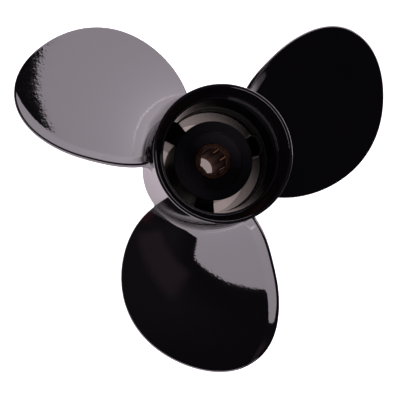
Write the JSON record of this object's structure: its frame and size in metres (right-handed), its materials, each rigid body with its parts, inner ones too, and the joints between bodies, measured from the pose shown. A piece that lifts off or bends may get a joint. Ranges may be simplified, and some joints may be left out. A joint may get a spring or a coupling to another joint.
{
  "type": "outboard motor propeller",
  "caption": "Bladed outboard propeller in gloss black cast aluminium, with a flared through-hub exhaust and a splined brass sleeve in a rubber bushing.",
  "frame": {"origin": "centre of mass, on the shaft axis, 35.3 mm behind the front face of the barrel", "axes": "+Z along the shaft axis from the front face to the flared rear end, which is up as the propeller stands; +Y through the middle of one exhaust passage"},
  "size_m": [0.2134, 0.2054, 0.0963],
  "materials": {
    "paint": "cast aluminium under gloss black paint",
    "rubber": "matt black moulded rubber",
    "brass": "machined, slightly browned"
  },
  "bodies": {
    "root": {"outer_barrel": "paint", "diffuser_ring": "paint", "inner_hub": "paint", "hub_rib_1": "paint", "hub_rib_2": "paint", "hub_rib_3": "paint", "blade_1": "paint", "blade_2": "paint", "blade_3": "paint", "rubber_bushing": "rubber", "splined_sleeve": "brass"}
  },
  "joints": []
}
